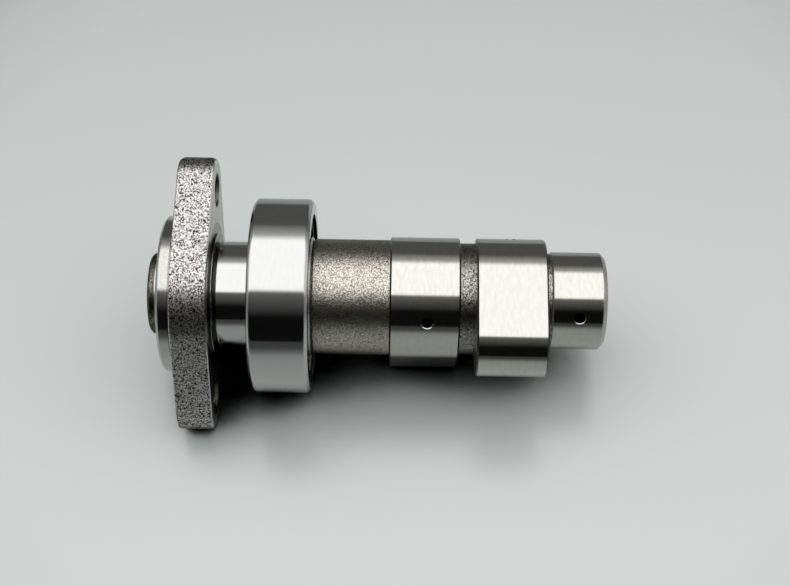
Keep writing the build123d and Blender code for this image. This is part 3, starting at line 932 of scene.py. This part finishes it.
# %% Bands of light round the shaft
WORLD_TILT = 3.5
BAND_START = -12.0
BAND_END = 192.0
BRIGHTEST = 1.6
STUDIO_LEVEL = 1.38
CLOTH = 0.005
CLOTH_TOP = 0.15
LAMP = 1.5
LAMP_EDGE = 0.5
WALL = 0.1
TABLE_GLOW = 0.05
LAMP_FRONT = 62.0
LAMP_BACK = 122.0

light_bands = [
    (BAND_START, TABLE_GLOW),
    (0.0, CLOTH),
    (30.0, CLOTH),
    (LAMP_FRONT - 4.0, CLOTH_TOP),
    (LAMP_FRONT, LAMP),
    (LAMP_BACK, LAMP),
    (LAMP_BACK + 8.0, LAMP_EDGE),
    (LAMP_BACK + 25.0, WALL),
    (BAND_END, WALL),
]
print("light bands:", len(light_bands), "and the lamp is", LAMP_BACK - LAMP_FRONT, "degrees wide")

# %% A world that reads the height angle
world = bpy.data.worlds.new("studio")
bpy.context.scene.world = world
world.use_nodes = True
sky = world.node_tree
sky.nodes.clear()
direction = sky.nodes.new("ShaderNodeTexCoord")
parts = sky.nodes.new("ShaderNodeSeparateXYZ")
sky.links.new(direction.outputs["Generated"], parts.inputs["Vector"])


def sky_math(operation, first, second=None):
    """A math node in the world. Each input is a socket or a number."""
    node = sky.nodes.new("ShaderNodeMath")
    node.operation = operation
    for place, value in enumerate((first, second)):
        if value is None:
            continue
        if isinstance(value, (int, float)):
            node.inputs[place].default_value = value
        else:
            sky.links.new(value, node.inputs[place])
    return node.outputs["Value"]


from_top = sky_math("ARCTAN2", parts.outputs["Y"], parts.outputs["Z"])
angle = sky_math("ADD", sky_math("MULTIPLY", from_top, 180 / math.pi), 90.0)
above_table = sky_math("SUBTRACT", angle, WORLD_TILT)
share = sky_math("DIVIDE", sky_math("SUBTRACT", above_table, BAND_START), BAND_END - BAND_START)
band_steps = []
for degrees, grey in light_bands:
    position = (degrees - BAND_START) / (BAND_END - BAND_START)
    level = grey / BRIGHTEST
    band_steps.append((position, (level, level, level)))
bands = blend_over(sky, share, band_steps)
print("the ramp runs from", BAND_START, "to", BAND_END, "degrees")

# %% Plain light at the two ends, and the world's output
ENDS_FROM = 0.55
ENDS_TO = 0.97

end_bands = [(-12, 0.06), (20, 0.07), (50, 0.14), (75, 0.5), (120, 0.55), (170, 0.5), (192, 0.3)]
end_steps = []
for degrees, grey in end_bands:
    end_steps.append(((degrees - BAND_START) / (BAND_END - BAND_START), (grey, grey, grey)))
sides_light = blend_over(sky, share, end_steps)
end_share = sky.nodes.new("ShaderNodeMapRange")
end_share.interpolation_type = "SMOOTHSTEP"
end_share.inputs["From Min"].default_value = ENDS_FROM
end_share.inputs["From Max"].default_value = ENDS_TO
sky.links.new(sky_math("ABSOLUTE", parts.outputs["X"]), end_share.inputs["Value"])
mix = sky.nodes.new("ShaderNodeMix")
mix.data_type = "RGBA"
sky.links.new(end_share.outputs["Result"], mix.inputs["Factor"])
sky.links.new(bands, mix.inputs["A"])
sky.links.new(sides_light, mix.inputs["B"])
background = sky.nodes.new("ShaderNodeBackground")
background.inputs["Strength"].default_value = BRIGHTEST * STUDIO_LEVEL
sky.links.new(mix.outputs["Result"], background.inputs["Color"])
sky_output = sky.nodes.new("ShaderNodeOutputWorld")
sky.links.new(background.outputs["Background"], sky_output.inputs["Surface"])
print("end bands:", len(end_bands))

# %% [markdown]
# ## The camera
# The camera stands in front of the shaft and well above it, and looks down at it square on. Its lens is a
# long one, so the shaft's far end is hardly smaller than its near end. A hair of roll, pan and nod is left
# in, because a camera on a real stand is never quite true.

# %% Place the camera
CAMERA_HEIGHT_ANGLE = math.radians(58.5)
CAMERA_X = 24.12
CAMERA_DISTANCE = 298.36
CAMERA_ROLL = 1.042
CAMERA_PAN = 0.237
CAMERA_NOD = -0.181
LENS = 65.79
SENSOR_WIDTH = 36.0

up_to_camera = Vector((0, -math.cos(CAMERA_HEIGHT_ANGLE), math.sin(CAMERA_HEIGHT_ANGLE)))
picture_down = Vector((0, -math.sin(CAMERA_HEIGHT_ANGLE), -math.cos(CAMERA_HEIGHT_ANGLE)))
square_on = Matrix((Vector((1, 0, 0)), picture_down, -up_to_camera)).transposed()
turned = (
    Matrix.Rotation(math.radians(CAMERA_ROLL), 3, "Z")
    @ Matrix.Rotation(math.radians(CAMERA_PAN), 3, "Y")
    @ Matrix.Rotation(math.radians(CAMERA_NOD), 3, "X")
)
to_right, to_bottom, to_part = (square_on @ row for row in turned)
lens_frame = Matrix((to_right, -to_bottom, -to_part)).transposed().to_4x4()
place = Matrix.Translation(up_to_camera * CAMERA_DISTANCE * MM + Vector((CAMERA_X * MM, 0, 0)))

camera_data = bpy.data.cameras.new("camera")
camera_data.lens = LENS
camera_data.sensor_width = SENSOR_WIDTH
camera_data.clip_start = 0.01
camera_data.clip_end = 20.0
camera = bpy.data.objects.new("camera", camera_data)
bpy.context.scene.collection.objects.link(camera)
camera.matrix_world = place @ lens_frame
bpy.context.scene.camera = camera
bpy.context.scene.view_settings.view_transform = "Standard"
print("camera at", [round(part, 4) for part in camera.location])
